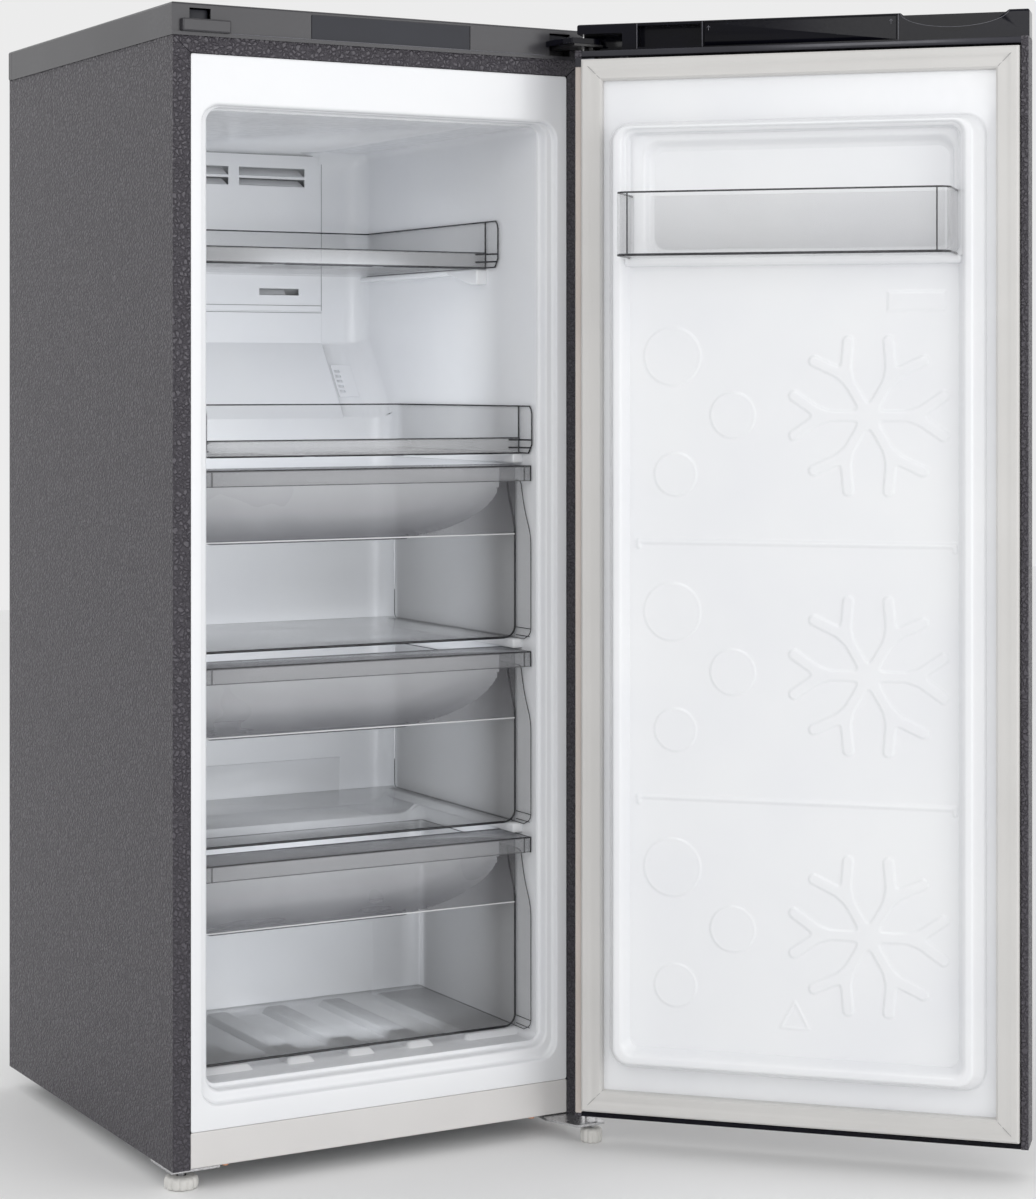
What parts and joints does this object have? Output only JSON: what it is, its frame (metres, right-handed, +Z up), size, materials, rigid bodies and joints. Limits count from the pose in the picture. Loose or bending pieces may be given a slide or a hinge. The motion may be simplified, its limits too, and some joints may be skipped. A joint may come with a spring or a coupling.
{
  "type": "upright freezer",
  "caption": "Upright freezer, its door standing open on right-hand hinges, with sliding smoke-grey trays and drawers inside and a rack on the door.",
  "frame": {"origin": "on the floor, on the cabinet's centre line, in the plane of the cabinet's front flange, which the door's gasket closes on", "axes": "+X to the right of someone facing the door, +Y towards the back, +Z up"},
  "size_m": [0.9435, 1.0509, 1.404],
  "materials": {
    "outer_steel": "satin",
    "galvanised": "satin",
    "cover_plastic": "satin",
    "head_plastic": "gloss",
    "white_liner": "gloss",
    "foam": "matte",
    "kick_plastic": "satin",
    "smoke_plastic": "gloss",
    "gasket_rubber": "matte",
    "foot_plastic": "satin",
    "zinc_steel": "satin",
    "copper": "satin",
    "aluminium_fin": "satin",
    "black_steel": "satin",
    "dark_rubber": "matte",
    "magnet": "matte",
    "board": "satin",
    "grey_plastic": "satin"
  },
  "bodies": {
    "cabinet": {"left_side_panel": "outer_steel", "right_side_panel": "outer_steel", "top_panel": "outer_steel", "back_panel": "galvanised", "base_pan": "galvanised", "inner_liner": "white_liner", "foam_insulation": "foam", "kick_panel": "kick_plastic", "cabinet_screws": "copper", "top_cover": "cover_plastic", "top_cover_rear_strip": "cover_plastic", "top_cover_inlay": "cover_plastic", "hinge_blank_cap": "cover_plastic", "hinge_cover": "cover_plastic", "control_box": "grey_plastic", "top_hinge": "zinc_steel", "bottom_hinge": "zinc_steel", "base_brackets": "zinc_steel", "roller_axles": "zinc_steel", "duct_cover": "white_liner", "evaporator_cover": "white_liner", "sensor_grille": "white_liner", "evaporator_fins": "aluminium_fin", "evaporator_tube": "aluminium_fin", "defrost_heater": "grey_plastic", "fan_shroud": "grey_plastic", "fan_motor": "black_steel", "drain_tube": "grey_plastic", "drip_tray": "grey_plastic", "compressor_plate": "galvanised", "compressor": "black_steel", "compressor_mounts": "dark_rubber", "filter_drier": "copper", "refrigerant_pipes": "copper", "machine_cover": "galvanised", "cord_gland": "dark_rubber"},
    "door": {"door_liner": "white_liner", "door_foam": "foam", "door_outer_panel": "outer_steel", "door_bottom_cap": "head_plastic", "hinge_bushes": "grey_plastic", "magnet_strips": "magnet", "door_gasket": "gasket_rubber", "door_head": "head_plastic", "head_cover": "head_plastic", "control_board": "board"},
    "door_rack": {"door_rack": "smoke_plastic"},
    "upper_tray": {"upper_tray": "smoke_plastic"},
    "lower_tray": {"lower_tray": "smoke_plastic"},
    "drawer_1": {"drawer_1_tub": "smoke_plastic", "drawer_1_front": "smoke_plastic"},
    "drawer_2": {"drawer_2_tub": "smoke_plastic", "drawer_2_front": "smoke_plastic"},
    "drawer_3": {"drawer_3_tub": "smoke_plastic", "drawer_3_front": "smoke_plastic"},
    "fan": {"fan_blade": "grey_plastic"},
    "left_foot": {"left_foot": "foot_plastic"},
    "right_foot": {"right_foot": "foot_plastic"},
    "left_roller": {"left_roller": "grey_plastic"},
    "right_roller": {"right_roller": "grey_plastic"}
  },
  "joints": [
    {"name": "door_hinge", "type": "hinge", "parent": "cabinet", "child": "door", "pos_m": [0.267, -0.0444, 0.7], "axis": [0, 0, 1], "range_deg": [-134.6, 0]},
    {"name": "rack_lift", "type": "slide", "parent": "door", "child": "door_rack", "axis": [0, 0, 1], "range_m": [0, 0.03]},
    {"name": "upper_tray_slide", "type": "slide", "parent": "cabinet", "child": "upper_tray", "axis": [0, -1, 0], "range_m": [0, 0.28]},
    {"name": "lower_tray_slide", "type": "slide", "parent": "cabinet", "child": "lower_tray", "axis": [0, -1, 0], "range_m": [0, 0.3]},
    {"name": "drawer_1_slide", "type": "slide", "parent": "cabinet", "child": "drawer_1", "axis": [0, -1, 0], "range_m": [0, 0.34]},
    {"name": "drawer_2_slide", "type": "slide", "parent": "cabinet", "child": "drawer_2", "axis": [0, -1, 0], "range_m": [0, 0.34]},
    {"name": "drawer_3_slide", "type": "slide", "parent": "cabinet", "child": "drawer_3", "axis": [0, -1, 0], "range_m": [0, 0.27]},
    {"name": "fan_spin", "type": "hinge", "parent": "cabinet", "child": "fan", "pos_m": [0, 0.52, 0.912], "axis": [0, 1, 0], "continuous": true},
    {"name": "left_foot_screw", "type": "hinge", "parent": "cabinet", "child": "left_foot", "pos_m": [-0.259, 0.025, 0.01], "axis": [0, 0, 1], "range_deg": [-360, 360]},
    {"name": "right_foot_screw", "type": "hinge", "parent": "cabinet", "child": "right_foot", "pos_m": [0.267, -0.0444, 0.01], "axis": [0, 0, 1], "range_deg": [-360, 360]},
    {"name": "left_roller_spin", "type": "hinge", "parent": "cabinet", "child": "left_roller", "pos_m": [-0.22, 0.54, 0.015], "axis": [1, 0, 0], "continuous": true},
    {"name": "right_roller_spin", "type": "hinge", "parent": "cabinet", "child": "right_roller", "pos_m": [0.22, 0.54, 0.015], "axis": [1, 0, 0], "continuous": true}
  ]
}
